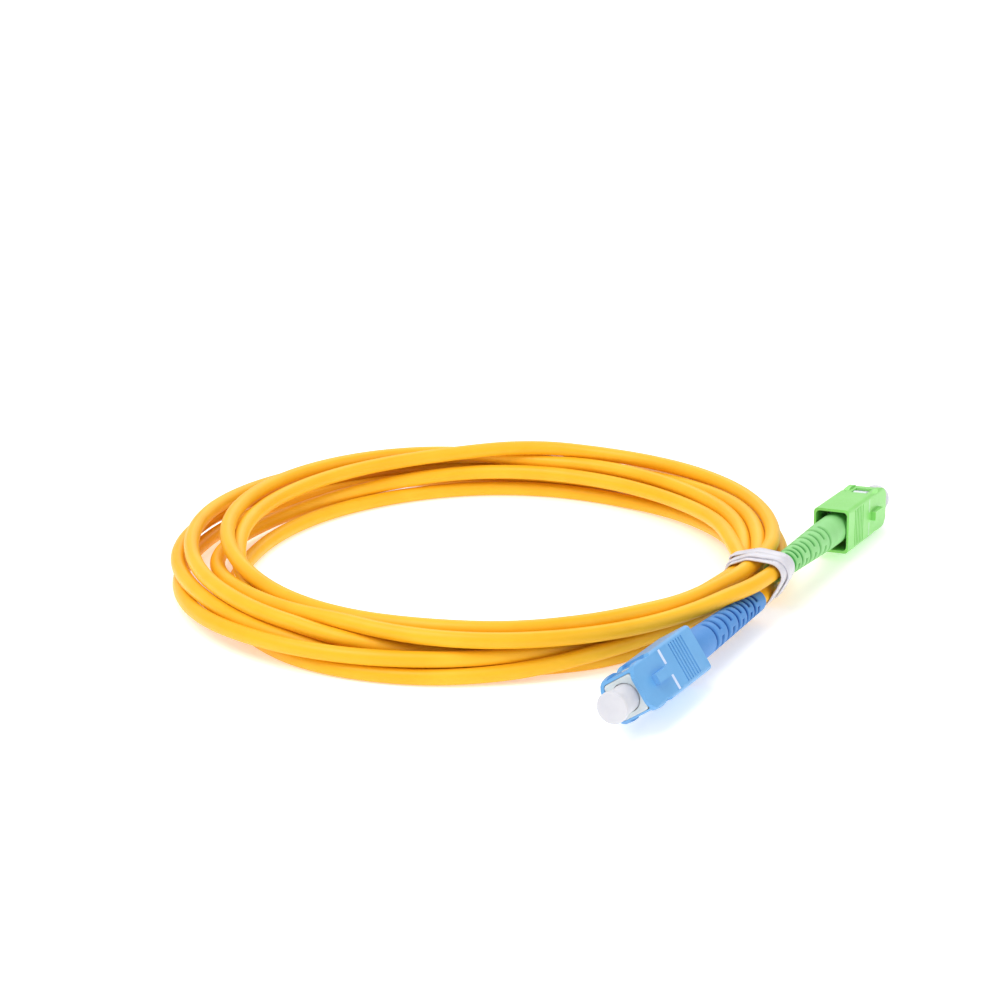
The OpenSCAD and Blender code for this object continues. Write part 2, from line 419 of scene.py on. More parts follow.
def piece(
    name: str, verts: Iterable[Iterable[float]], faces: Iterable[Iterable[int]],
    finish: Finish, place: Matrix | None = None,
) -> bpy.types.Object:
    """Make a smooth-shaded piece.

    Args:
        name: The piece's name.
        verts: Its points, in mm.
        faces: Its faces, as indices of points.
        finish: Its finish.
        place: The change to metres in the model's frame; plain scaling if None.

    Returns:
        The new object, linked to the scene.
    """
    change = place or Matrix.Scale(MM, 4)
    mesh = bpy.data.meshes.new(name)
    mesh.from_pydata([change @ Vector(v) for v in verts], [], [tuple(f) for f in faces])
    mesh.update()
    mesh.validate()
    mesh.shade_smooth()
    mesh.materials.append(finish.material())
    made = bpy.data.objects.new(name, mesh)
    bpy.context.scene.collection.objects.link(made)
    return made


def loft(rings: list[list[Point]], closed: bool = False) -> tuple[list[Point], list[tuple[int, ...]]]:
    """Skin a row of rings that have the same number of points.

    Args:
        rings: The rings, each a closed loop of points.
        closed: Whether the last ring joins the first; otherwise both ends get a cap.

    Returns:
        The points and the faces.
    """
    side = len(rings[0])
    verts = [p for ring in rings for p in ring]
    faces: list[tuple[int, ...]] = []
    spans = len(rings) if closed else len(rings) - 1
    for i in range(spans):
        here, there = i * side, ((i + 1) % len(rings)) * side
        for k in range(side):
            after = (k + 1) % side
            faces.append((here + k, here + after, there + after, there + k))
    if not closed:
        faces.append(tuple(reversed(range(side))))
        faces.append(tuple(range(len(verts) - side, len(verts))))
    return verts, faces


def add_uv(made: bpy.types.Object, side: int, stations: np.ndarray, girth: float) -> None:
    """Give a lofted tube a UV map in metres: U along it and V round it.

    Args:
        made: The tube.
        side: The number of points in each ring.
        stations: Each ring's distance along the tube, in mm.
        girth: The way round the tube, in mm.
    """
    layer = made.data.uv_layers.new(name="along_and_round")
    for face in made.data.polygons:
        spots = [divmod(v, side) for v in face.vertices]
        wraps = {0, side - 1} <= {k for _, k in spots}
        for loop, (ring, k) in zip(face.loop_indices, spots):
            turn = k + side if wraps and k == 0 else k
            layer.data[loop].uv = (stations[ring] * MM, turn / side * girth * MM)


# ---- The cord ----

BLUE_LIE = Lie((36.6, -54.2, 5.85), 242.6, 2.0, -54.8)
GREEN_LIE = Lie((70.6, 11.1, 6.4), 64.5, -4.0, 88.0)
BOOT_LENGTH = 34.0


@dataclass(frozen=True)
class Turn:
    """One turn: (distance from the coil's middle, height) in mm every 30 degrees from +X."""

    name: str
    stations: tuple[tuple[float, float], ...]


TURNS = (
    Turn("first", ((60, 6.5), (60.5, 6.5), (59.5, 6.5), (58, 6), (60, 4), (61, 5), (59.5, 5.5),
                   (57.5, 6), (54.5, 4), (50, 2), (49.5, 1.5), (50.5, 2))),
    Turn("floor", ((52.5, 5), (52.5, 3), (55.5, 1.5), (53.5, 2), (49.5, 1.5), (47, 1.5),
                   (46, 1.5), (53, 1.5), (57, 1.5), (53.5, 1.5), (52, 4.5), (50.5, 5))),
    Turn("outer", ((55, 10), (56.5, 9), (57.5, 4), (57.5, 8), (59, 7), (60.5, 7.5), (56, 8.5),
                   (55.5, 8.5), (54.5, 7), (47, 3.5), (47, 6), (53.5, 2))),
    Turn("lower", ((56, 6), (56, 5.5), (56, 5), (56, 3.5), (57, 3), (57.5, 3), (58.5, 2.5),
                   (59.5, 4.5), (58, 5), (52.5, 5), (48.5, 3.5), (47.5, 4.5))),
    Turn("crown", ((51.5, 10), (53, 8), (55.5, 8), (56.5, 9), (55.5, 10), (53, 10), (49.5, 10),
                   (46.5, 8), (48.5, 9), (50.5, 9), (50.5, 9), (52, 8))),
    Turn("inner", ((58, 9.5), (60.5, 10), (58.5, 10), (52.5, 10), (51.5, 9), (50, 8),
                   (46.5, 8.5), (48, 4.5), (49.5, 6), (49.5, 6), (50, 5.5), (49, 7.5))),
    Turn("last", ((49, 9.5), (50.5, 6), (52.5, 6), (52, 6.5), (51.5, 4), (52, 2), (52, 4.5),
                  (50, 7.5), (52, 9), (54, 8.5), (53, 8), (58, 8))),
)


@dataclass
class CoilRoute:
    """The cord's route: turns laid beside and on each other, from boot to boot.

    The turns' stations are joined up, then the cord grows from thin to its full diameter while
    neighbours push apart and the route stays smooth, clear of the floor, the boots and the tie.
    """

    diameter: float = CORD_DIAMETER
    per_turn: int = 90
    lead: float = 3.8
    leads_inside: int = 6
    top: float = 10.6
    # The angles left free at the boots, and where the last turn starts to run in
    boot_angle: float = 2.5
    run_in: float = 20.0
    # Settling: how thin the cord starts, how fast it grows, and the late rounds' calmer pace
    rounds: int = 700
    thin: float = 0.2
    growth: float = 1.1
    late: float = 0.9
    late_pace: float = 0.25
    evening: float = 0.35
    stiffness: float = 0.05
    pull: float = 0.04
    sinking: float = 0.012
    closing_rounds: int = 6
    partings: int = 3
    # Parting: each turn's share of a push, and the room kept between turns and off the boots
    share: float = 0.45
    turn_gap: float = 0.03
    boot_gap: float = 0.1
    # The tie: its angle, the bundle's inner radius under it, and how that eases off beside it
    tie_angle: float = 342.0
    tie_inner: float = 52.4
    tie_reach: float = 26.0
    tie_ease: float = 9.0
    tie_lift: float = 0.5
    angles: np.ndarray = field(init=False)
    start: np.ndarray = field(init=False)
    finish: np.ndarray = field(init=False)

    def points(self) -> np.ndarray:
        """Lay the whole route, with the cord's leads into both boots.

        Returns:
            The route's points, in mm from the coil's middle.
        """
        deepest = BOOT_LENGTH - self.leads_inside * self.lead
        inside = np.arange(deepest, BOOT_LENGTH + 1.5 * self.lead, self.lead)
        leads_out = np.array([BLUE_LIE.along(-x) for x in inside])
        leads_in = np.array([GREEN_LIE.along(-x) for x in inside[::-1]])
        track = self._relax(leads_out, leads_in)
        turn = np.radians(self.angles)
        middle = np.stack([track[:, 0] * np.cos(turn), track[:, 0] * np.sin(turn), track[:, 1]], 1)
        return np.vstack([leads_out, middle, leads_in])

    @staticmethod
    def _polar(points: np.ndarray) -> tuple[np.ndarray, np.ndarray]:
        """Split points into angles and (distance, height) pairs.

        Args:
            points: Points in mm from the coil's middle.

        Returns:
            The angles in degrees, and the pairs.
        """
        pairs = np.stack([np.hypot(points[:, 0], points[:, 1]), points[:, 2]], 1)
        return np.degrees(np.arctan2(points[:, 1], points[:, 0])), pairs

    def _relax(self, leads_out: np.ndarray, leads_in: np.ndarray) -> np.ndarray:
        """Settle the turns against each other.

        Args:
            leads_out: Fixed points that lead out of the blue boot.
            leads_in: Fixed points that lead into the green boot.

        Returns:
            A (distance, height) pair for each of self.angles.
        """
        out_angle, self.start = self._polar(leads_out)
        in_angle, self.finish = self._polar(leads_in)
        in_angle = in_angle + 360 * len(TURNS)
        step = 360 / self.per_turn
        first = math.ceil((out_angle[-1] + self.boot_angle) / step) * step
        last = math.floor((in_angle[0] - self.boot_angle) / step) * step
        self.angles = np.arange(first, last + step / 2, step)
        at = np.array([360 * i + 30 * k for i in range(len(TURNS)) for k in range(12)])
        kept = at < last - self.run_in
        at = np.concatenate([[out_angle[-1]], at[kept], [in_angle[0]]])
        pairs = np.array([s for turn in TURNS for s in turn.stations], float)
        pairs = np.vstack([self.start[-1], pairs[kept], self.finish[0]])
        wish = np.stack([np.interp(self.angles, at, pairs[:, j]) for j in (0, 1)], 1)
        for _ in range(12):
            wish = self._smooth(wish, 0.5, 0.0)
        boots = [self._boot(BLUE_LIE), self._boot(GREEN_LIE)]
        track = wish.copy()
        for i in range(self.rounds):
            grown = self.diameter * min(1.0, self.thin + self.growth * i / self.rounds)
            pace = 1.0 if i < self.late * self.rounds else self.late_pace
            if i < self.rounds - self.closing_rounds:
                track = self._smooth(track, self.evening * pace, self.stiffness)
                track += self.pull * pace * (wish - track)
                track[:, 1] -= self.sinking * pace
            for _ in range(self.partings):
                track = self._part(track, grown, boots)
        return track

    def _smooth(self, track: np.ndarray, even: float, stiff: float) -> np.ndarray:
        """Even out the route's steps and bends.

        Args:
            track: A pair for each angle.
            even: How far each pair goes towards the middle of its neighbours, 0 to 0.5.
            stiff: How strongly changes of bend are taken out, 0 to 0.06.

        Returns:
            The smoother pairs.
        """
        whole = np.vstack([self.start[-2:], track, self.finish[:2]])
        track = track + even * ((whole[1:-3] + whole[3:-1]) / 2 - track)
        whole = np.vstack([self.start[-2:], track, self.finish[:2]])
        kink = whole[:-4] - 4 * whole[1:-3] + 6 * whole[2:-2] - 4 * whole[3:-1] + whole[4:]
        return track - stiff * kink

    def _boot(self, lie: Lie) -> tuple[np.ndarray, np.ndarray, np.ndarray]:
        """Find where a boot stands in the turns' way.

        Args:
            lie: Where the boot's plug lies.

        Returns:
            Whether each angle meets the boot, the boot's middle there, and its radius there.
        """
        reach = np.linspace(-BOOT_LENGTH - 0.5, 1.0, 60)
        at, middle = self._polar(np.array([lie.along(x) for x in reach]))
        radius = np.interp(reach, [-BOOT_LENGTH, -6, 0], [2.3, 3.0, 3.05])
        order = np.argsort(at)
        here = (self.angles + 180) % 360 - 180
        meets = (here >= at.min() - 1) & (here <= at.max() + 1)
        middles = [np.interp(here, at[order], middle[order, j]) for j in (0, 1)]
        return meets, np.stack(middles, 1), np.interp(here, at[order], radius[order])

    def _part(
        self, track: np.ndarray, grown: float,
        boots: list[tuple[np.ndarray, np.ndarray, np.ndarray]],
    ) -> np.ndarray:
        """Push the turns off each other, the boots, the tie and the floor.

        Args:
            track: A pair for each angle.
            grown: The cord's diameter at this stage, in mm.
            boots: What _boot gives for each boot.

        Returns:
            The parted pairs.
        """
        track = track.copy()
        for lag in range(self.per_turn, len(track), self.per_turn):
            gap = track[lag:] - track[:-lag]
            apart = np.maximum(np.hypot(gap[:, 0], gap[:, 1]), LEAST_GAP)
            push = self.share * np.maximum(grown + self.turn_gap - apart, 0) / apart
            track[:-lag] -= push[:, None] * gap
            track[lag:] += push[:, None] * gap
        for meets, middle, radius in boots:
            gap = track - middle
            apart = np.maximum(np.hypot(gap[:, 0], gap[:, 1]), LEAST_GAP)
            want = np.where(meets, radius + grown / 2 + self.boot_gap, 0)
            track += (np.maximum(want - apart, 0) / apart)[:, None] * gap
        from_tie = np.abs((self.angles - self.tie_angle + 180) % 360 - 180)
        snug = 0.5 + 0.5 * np.cos(np.pi * np.minimum(from_tie / self.tie_reach, 1))
        inner = self.tie_inner - self.tie_ease * (1 - snug)
        floor = self.diameter / 2 + self.tie_lift * snug
        track[:, 0] = np.maximum(track[:, 0], inner)
        track[:, 1] = np.clip(track[:, 1], floor, self.top)
        return track


@dataclass
class Cord:
    """The jacketed cord, wound from boot to boot."""

    diameter: float = CORD_DIAMETER
    sides: int = 20
    fine: float = 1.9
    route: CoilRoute = field(default_factory=CoilRoute)
    line: np.ndarray = field(init=False)

    def build(self) -> bpy.types.Object:
        """Returns:
            The jacket.
        """
        self.line = self._dense(self.route.points()) + np.array(COIL_MIDDLE)
        rings = sweep_rings(self.line, self._round())
        verts, faces = loft(rings)
        jacket = piece("cord_jacket", verts, faces, JACKET)
        steps = np.linalg.norm(np.diff(self.line, axis=0), axis=1)
        stations = np.concatenate([[0], np.cumsum(steps)])
        add_uv(jacket, self.sides, stations, math.pi * self.diameter)
        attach(jacket, CORD_BODY)
        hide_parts("cord_coil", "blue_tail", "green_tail")
        exit_at = np.array(COIL_MIDDLE) + BLUE_LIE.along(-BOOT_LENGTH)
        LOG.info("cord: %.0f mm in %d rings", stations[-1], len(rings))
        return jacket

    def _round(self) -> list[tuple[float, float]]:
        """Draw the jacket's round section.

        Returns:
            The section's points, as (sideways, upward) pairs in mm.
        """
        turns = [2 * math.pi * k / self.sides for k in range(self.sides)]
        radius = self.diameter / 2
        return [(radius * math.cos(t), radius * math.sin(t)) for t in turns]

    def _dense(self, points: np.ndarray) -> np.ndarray:
        """Pass a smooth curve through the points.

        Args:
            points: The route's points.

        Returns:
            Points about self.fine mm apart.
        """
        before = np.vstack([2 * points[0] - points[1], points, 2 * points[-1] - points[-2]])
        parts = max(2, round(self.route.lead / self.fine))
        spans = []
        for i in range(1, len(before) - 2):
            a, b, c, d = before[i - 1 : i + 3]
            for t in np.arange(parts) / parts:
                spans.append(
                    0.5 * (2 * b + (c - a) * t + (2 * a - 5 * b + 4 * c - d) * t**2
                           + (3 * b - a - 3 * c + d) * t**3)
                )
        return np.array(spans + [points[-1]])


def sweep_rings(line: np.ndarray, section: list[tuple[float, float]]) -> list[list[Point]]:
    """Carry a section along a line without twist.

    Args:
        line: Points of the line, in mm.
        section: The section's points, as (sideways, upward) pairs.

    Returns:
        One ring of points for each point of the line.
    """
    ways = np.gradient(line, axis=0)
    ways /= np.linalg.norm(ways, axis=1)[:, None]
    rings = []
    for middle, way in zip(line, ways):
        side = np.cross(way, (0.0, 0.0, 1.0))
        side /= np.linalg.norm(side)
        up = np.cross(side, way)
        rings.append([tuple(middle + u * side + v * up) for u, v in section])
    return rings


# ---- The tie ----


@dataclass(frozen=True)
class Wrap:
    """One wrap of the tie: where it lies along the boots' line, its lean, width and layer."""

    along: float
    lean: float
    lean_from: float
    width: float
    layer: float


@dataclass
class Tie:
    """A soft flat strip wound round the bundle of turns, the blue tail and the green boot's end."""

    cord_line: np.ndarray
    line_angle: float = 63.4
    thickness: float = 0.32
    sides: int = 120
    directions: int = 720
    near: float = 46.0
    far: float = 66.0
    reach: float = 0.4
    slack: float = 0.06
    crown: float = 0.06
    boot_tip: float = 2.3
    boot_taper: float = 0.025
    wraps: tuple[Wrap, ...] = (
        Wrap(5.9, 0.6, 30.0, 3.2, 0.0),
        Wrap(9.9, 0.6, 30.0, 2.6, 0.0),
        Wrap(8.2, 1.7, 300.0, 2.4, 0.36),
    )

    def build(self) -> bpy.types.Object:
        """Wind every wrap and join them into one piece.

        Returns:
            The tie.
        """
        verts: list[Point] = []
        faces: list[tuple[int, ...]] = []
        for wrap in self.wraps:
            part_verts, part_faces = loft(self._rings(wrap), closed=True)
            first = len(verts)
            verts += part_verts
            faces += [tuple(first + v for v in face) for face in part_faces]
        tie = piece("tie_wraps", verts, faces, TIE_FILM)
        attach(tie, CORD_BODY)
        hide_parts("tie_band_near", "tie_band_far")
        LOG.info("tie: %d wraps", len(self.wraps))
        return tie

    def _axes(self) -> tuple[np.ndarray, np.ndarray]:
        """Find the tie's directions.

        Returns:
            The direction along the boots' line, and the one out from the coil's middle.
        """
        along = math.radians(self.line_angle)
        out = along - math.pi / 2
        return (
            np.array([math.cos(along), math.sin(along), 0.0]),
            np.array([math.cos(out), math.sin(out), 0.0]),
        )

    def _bundle(self) -> np.ndarray:
        """Find what the tie may hold.

        Returns:
            (along, out, up, radius) in mm for each round thing near the tie.
        """
        along, out = self._axes()
        held = []
        boot = np.arange(-BOOT_LENGTH, 0.0, 1.0)
        things = [(p - np.array(COIL_MIDDLE), CORD_DIAMETER / 2) for p in self.cord_line]
        for x in boot:
            things.append((GREEN_LIE.along(x), self.boot_tip + self.boot_taper * (x + BOOT_LENGTH)))
        for place, radius in things:
            if self.near < place @ out < self.far:
                held.append((place @ along, place @ out, place[2], radius))
        return np.array(held)

    def _outline(self, wrap: Wrap) -> np.ndarray:
        """Draw a wrap's inner line, pulled tight round what it holds.

        Args:
            wrap: The wrap.

        Returns:
            Evenly spaced (out, up) points.
        """
        things = self._bundle()
        turns = np.linspace(0, 2 * math.pi, self.directions, endpoint=False)
        tight = []
        for turn in turns:
            at = wrap.along + wrap.lean * math.cos(turn - math.radians(wrap.lean_from))
            held = things[np.abs(things[:, 0] - at) < wrap.width / 2 + self.reach, 1:]
            way = np.array([math.cos(turn), math.sin(turn)])
            best = held[np.argmax(held[:, :2] @ way + held[:, 2])]
            tight.append(best[:2] + (best[2] + self.slack + wrap.layer) * way)
        loop = np.array(tight + [tight[0]])
        steps = np.concatenate([[0], np.cumsum(np.linalg.norm(np.diff(loop, axis=0), axis=1))])
        even = np.linspace(0, steps[-1], self.sides, endpoint=False)
        line = np.stack([np.interp(even, steps, loop[:, j]) for j in (0, 1)], 1)
        for _ in range(2):
            line = (np.roll(line, 1, 0) + 2 * line + np.roll(line, -1, 0)) / 4
        return line

    def _rings(self, wrap: Wrap) -> list[list[Point]]:
        """Carry the strip's section round a wrap.

        Args:
            wrap: The wrap.

        Returns:
            The strip's rings of points, in mm.
        """
        along, out = self._axes()
        line = self._outline(wrap)
        ways = np.roll(line, -1, 0) - np.roll(line, 1, 0)
        ways /= np.linalg.norm(ways, axis=1)[:, None]
        centre = line.mean(0)
        rings = []
        for (u, v), way in zip(line, ways):
            turn = math.atan2(v - centre[1], u - centre[0])
            shift = wrap.along + wrap.lean * math.cos(turn - math.radians(wrap.lean_from))
            normal = np.array([way[1], -way[0]])
            ring = []
            for across, rise in self._strip(wrap.width):
                spot = np.array([u, v]) + normal * rise
                place = np.array(COIL_MIDDLE) + spot[0] * out + (shift + across) * along
                ring.append((place[0], place[1], spot[1]))
            rings.append(ring)
        return rings

    def _strip(self, width: float) -> list[tuple[float, float]]:
        """Draw the strip's section, slightly crowned with soft edges.

        Args:
            width: The strip's width, in mm.

        Returns:
            The section's points, as (across, outward) pairs in mm.
        """
        half = width / 2
        rise = self.crown
        top = [(c * half, self.thickness + rise * (1 - c * c)) for c in (-0.9, -0.5, 0, 0.5, 0.9)]
        under = [(c * half, 0.0) for c in (0.9, 0.0, -0.9)]
        edge = self.thickness / 2
        return top + [(half, edge)] + under + [(-half, edge)]


# ---- The plugs ----

SHARP_ANGLE = 38.0
WELD_GAP = 0.002


def lathe(profile: list[tuple[float, float]], sides: int) -> list[list[Point]]:
    """Turn a profile about X.

    Args:
        profile: (x, radius) pairs, in mm.
        sides: The number of points in each ring.

    Returns:
        One ring for each pair.
    """
    turns = [2 * math.pi * k / sides for k in range(sides)]
    return [[(x, r * math.cos(t), r * math.sin(t)) for t in turns] for x, r in profile]


@dataclass
class Boot:
    """The soft slotted boot: a tapered sleeve with slots that alternate between its sides."""

    lie: Lie
    side: str
    finish: Finish
    turn: float = -12.0
    front: float = 4.2
    neck: float = 3.05
    tip: float = 2.18
    bore: float = 1.58
    crimp_bore: float = 2.37
    crimp_rear: float = -4.8
    slot_floor: float = 1.72
    slot_half: float = 0.55
    slot_arc: float = 76.0
    sides: int = 112
    wide_slots: tuple[float, ...] = (8.8, 14.4, 19.7, 24.2, 28.1)
    narrow_slots: tuple[float, ...] = (11.5, 17.0, 21.9, 26.1, 30.0)

    def build(self) -> bpy.types.Object:
        """Make the boot, with its slots sunk and its bores open, and mark how deep its slots lie for
        painted shade.

        Returns:
            The boot.
        """
        rings, shade_depths = self._outside()
        inner = [(-BOOT_LENGTH + 0.12, self.tip - 0.42), (-BOOT_LENGTH + 0.3, self.bore)]
        inner += [(-20.0, self.bore), (self.crimp_rear - 0.1, self.bore)]
        inner += [(self.crimp_rear, self.crimp_bore)]
        inner += [(-1.0, self.crimp_bore), (self.front - 0.1, self.crimp_bore)]
        inner += [(self.front, self.crimp_bore + 0.1)]
        rings += lathe(inner, self.sides)
        shade_depths += [0.0] * (self.sides * len(inner))
        verts, faces = loft(rings, closed=True)
        turn = Matrix.Rotation(math.radians(self.turn), 4, "X")
        name = f"{self.side}_boot_sleeve"
        boot = piece(name, verts, faces, self.finish, self.lie.matrix() @ turn)
        # Store each point's slot depth, which the rubber's material turns into painted shade.
        layer = boot.data.attributes.new(SLOT_SHADE_DEPTH, "FLOAT", "POINT")
        layer.data.foreach_set("value", shade_depths)
        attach(boot, CORD_BODY)
        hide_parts(f"{self.side}_boot")
        return boot

    def _radius(self, x: float) -> float:
        """Work out the plain outer radius at a station.

        Args:
            x: The station, from the housing's rear.

        Returns:
            The radius, in mm.
        """
        return float(np.interp(x, [-BOOT_LENGTH, -6.0, 0.0], [self.tip, self.neck - 0.04, self.neck]))

    def _stations(self) -> list[float]:
        """Place the outer rings, closer together at each slot's edges.

        Returns:
            The rings' stations, from the front to the tip.
        """
        edge = 0.05
        plain = list(np.arange(self.front - 0.2, -BOOT_LENGTH + 0.5, -0.7))
        for slot in self.wide_slots + self.narrow_slots:
            plain = [x for x in plain if abs(x + slot) > self.slot_half + 0.25]
            for side in (-1, 1):
                wall = -slot + side * self.slot_half
                plain += [wall + side * 0.16, wall + side * edge, wall, wall - side * edge]
            plain.append(-slot)
        return sorted(plain, reverse=True)

    def _open(self, x: float, turn: float) -> float:
        """Say how far a slot is open at a point of the outside.

        Args:
            x: The station.
            turn: The angle about X from +Z, in degrees.

        Returns:
            0 on plain surface, to 1 in a slot.
        """
        amount = 0.0
        for slots, middle in ((self.wide_slots, 0.0), (self.narrow_slots, 90.0)):
            off = abs((turn - middle + 90) % 180 - 90)
            arc = min(1.0, max(0.0, (self.slot_arc - off) / 3.2 + 0.5))
            near = min(abs(x + slot) for slot in slots)
            wall = min(1.0, max(0.0, (self.slot_half - near) / 0.1 + 0.5))
            soft = 0.03 if 0 < near - self.slot_half < 0.12 else 0.0
            amount = max(amount, arc * max(wall, soft))
        return amount

    def _outside(self) -> tuple[list[list[Point]], list[float]]:
        """Draw the outside, from the front to the tip.

        Returns:
            The outer rings, and how deep each of their points lies in a slot, 0 to 1; this masks the
            painted shade in the slots.
        """
        rings: list[list[Point]] = []
        shade_depths: list[float] = []
        ends = [(self.front, self.neck - 0.3), (self.front - 0.08, self.neck - 0.08)]
        rings += lathe(ends, self.sides)
        shade_depths += [0.0] * (2 * self.sides)
        for x in self._stations():
            ring = []
            for k in range(self.sides):
                angle = 2 * math.pi * k / self.sides
                opened = self._open(x, 90 - math.degrees(angle))
                radius = self._radius(x)
                radius -= opened * (radius - self.slot_floor)
                ring.append((x, radius * math.cos(angle), radius * math.sin(angle)))
                shade_depths.append(opened)
            rings.append(ring)
        tip = [(-BOOT_LENGTH + 0.3, self.tip), (-BOOT_LENGTH + 0.12, self.tip - 0.05)]
        tip += [(-BOOT_LENGTH, self.tip - 0.2), (-BOOT_LENGTH, self.tip - 0.32)]
        rings += lathe(tip, self.sides)
        shade_depths += [0.0] * (self.sides * len(tip))
        return rings, shade_depths


@dataclass
class DustCap:
    """The soft dust cap: a body that grips the ferrule, with a rounded head."""

    lie: Lie
    side: str
    rear: float = 20.6
    nose: float = 30.3
    body: float = 2.5
    head: float = 2.85
    bore: float = 1.27
    bore_end: float = 26.6
    sides: int = 72

    def build(self) -> bpy.types.Object:
        """Turn the cap from one profile, from its bore's end round to its face.

        Returns:
            The cap.
        """
        bore = [(self.bore_end, 0.02), (self.bore_end, self.bore - 0.1)]
        bore += [(self.bore_end - 0.1, self.bore), (self.rear + 0.2, self.bore)]
        bore += [(self.rear, self.bore + 0.15), (self.rear, self.body - 0.2)]
        shell = [(self.rear + 0.06, self.body - 0.06), (self.rear + 0.25, self.body)]
        shell += [(self.nose - 1.5, self.body), (self.nose - 1.28, self.body + 0.03)]
        shell += [(self.nose - 1.2, self.body + 0.1), (self.nose - 1.16, self.head - 0.08)]
        turns = [math.radians(a) for a in range(0, 91, 15)]
        lip = 0.22
        shell.append((self.nose - 1.05, self.head))
        shell += [
            (self.nose - lip + lip * math.sin(a), self.head - lip + lip * math.cos(a))
            for a in turns
        ]
        face = [(self.nose - 0.02, self.head - 0.6), (self.nose - 0.05, self.head - 1.4)]
        face.append((self.nose - 0.06, 0.02))
        verts, faces = loft(lathe(bore + shell + face, self.sides))
        cap = piece(f"{self.side}_cap_turned", verts, faces, CAP_SOFT, self.lie.matrix())
        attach(cap, f"{self.side}_cap")
        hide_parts(f"{self.side}_dust_cap")
        return cap


def give_way(made: bpy.types.Object) -> None:
    """Give a piece its own copy of its mesh.

    Args:
        made: The piece, which rides on the cord's body.
    """
    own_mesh(made)


@dataclass
class Spring:
    """The coil spring between the stop ring and the ferrule's flange."""

    lie: Lie
    side: str
    rear: float = 9.0
    front: float = 14.5
    turns: int = 5
    radius: float = 1.6
    wire: float = 0.25
    steps: int = 26
    sides: int = 10

    def build(self) -> bpy.types.Object:
        """Wind the spring with its end turns closer together.

        Returns:
            The spring.
        """
        count = self.turns * self.steps
        first, last = self.rear + self.wire + 0.08, self.front - self.wire - 0.08
        rings = []
        for i in range(count + 1):
            part = i / count
            x = first + (last - first) * (0.75 * part + 0.25 * part * part * (3 - 2 * part))
            turn = 2 * math.pi * i / self.steps
            ring = []
            for k in range(self.sides):
                around = 2 * math.pi * k / self.sides
                reach = self.radius + self.wire * math.cos(around)
                along = x + self.wire * math.sin(around)
                ring.append((along, reach * math.cos(turn), reach * math.sin(turn)))
            rings.append(ring)
        verts, faces = loft(rings)
        coil = piece(f"{self.side}_spring_wire", verts, faces, SPRING_STEEL, self.lie.matrix())
        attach(coil, CORD_BODY)
        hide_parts(f"{self.side}_spring")
        give_way(coil)
        return coil


@dataclass
class BufferFibre:
    """The fibre in its tight buffer, from the jacket's end to the ferrule."""

    lie: Lie
    side: str
    rear: float = -0.9
    front: float = 14.5
    radius: float = 0.45
    sides: int = 28

    def build(self) -> bpy.types.Object:
        """Turn the buffer with softened ends.

        Returns:
            The buffer.
        """
        profile = [(self.rear, 0.01), (self.rear, self.radius - 0.05)]
        profile += [(x, self.radius) for x in np.linspace(self.rear + 0.05, self.front - 0.05, 16)]
        profile += [(self.front, self.radius - 0.05), (self.front, 0.01)]
        verts, faces = loft(lathe(profile, self.sides))
        fibre = piece(f"{self.side}_buffer_fibre", verts, faces, TIGHT_BUFFER, self.lie.matrix())
        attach(fibre, CORD_BODY)
        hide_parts(f"{self.side}_buffer")
        give_way(fibre)
        return fibre


@dataclass
class IndexMarks:
    """The two fine printed bars on a housing's key face."""

    lie: Lie
    side: str
    ink: Finish
    station: float = 13.5
    width: float = 0.8
    inner: float = 1.05
    outer: float = 3.85
    face: float = 3.7
    proud: float = 0.025

    def build(self) -> bpy.types.Object:
        """Make both bars as thin slabs with softened rims.

        Returns:
            The bars, as one piece.
        """
        verts: list[Point] = []
        faces: list[tuple[int, ...]] = []
        for hand in (-1, 1):
            rings = []
            for rise, inset in ((-0.03, 0.0), (0.6, 0.0), (0.9, 0.03), (1.0, 0.07)):
                rings.append(self._outline(hand, self.face + rise * self.proud, inset))
            part_verts, part_faces = loft(rings)
            first = len(verts)
            verts += part_verts
            faces += [tuple(first + v for v in face) for face in part_faces]
        marks = piece(f"{self.side}_index_marks", verts, faces, self.ink, self.lie.matrix())
        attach(marks, f"{self.side}_sleeve")
        return marks

    def _outline(self, hand: int, height: float, inset: float) -> list[Point]:
        """Draw one bar's outline at a height, with rounded corners.

        Args:
            hand: 1 for the bar at +Y, -1 for the other.
            height: The outline's height, in mm.
            inset: How far it is drawn in, in mm.

        Returns:
            The outline's points.
        """
        corner = 0.1
        half_x = self.width / 2 - inset - corner
        middle = (self.inner + self.outer) / 2
        half_y = (self.outer - self.inner) / 2 - inset - corner
        outline = []
        for sx, sy, start in ((1, 1, 0), (-1, 1, 90), (-1, -1, 180), (1, -1, 270)):
            for step in range(0, 91, 30):
                turn = math.radians(start + step)
                x = self.station + sx * half_x + corner * math.cos(turn)
                y = hand * middle + sy * half_y + corner * math.sin(turn)
                outline.append((x, y, height))
        return outline


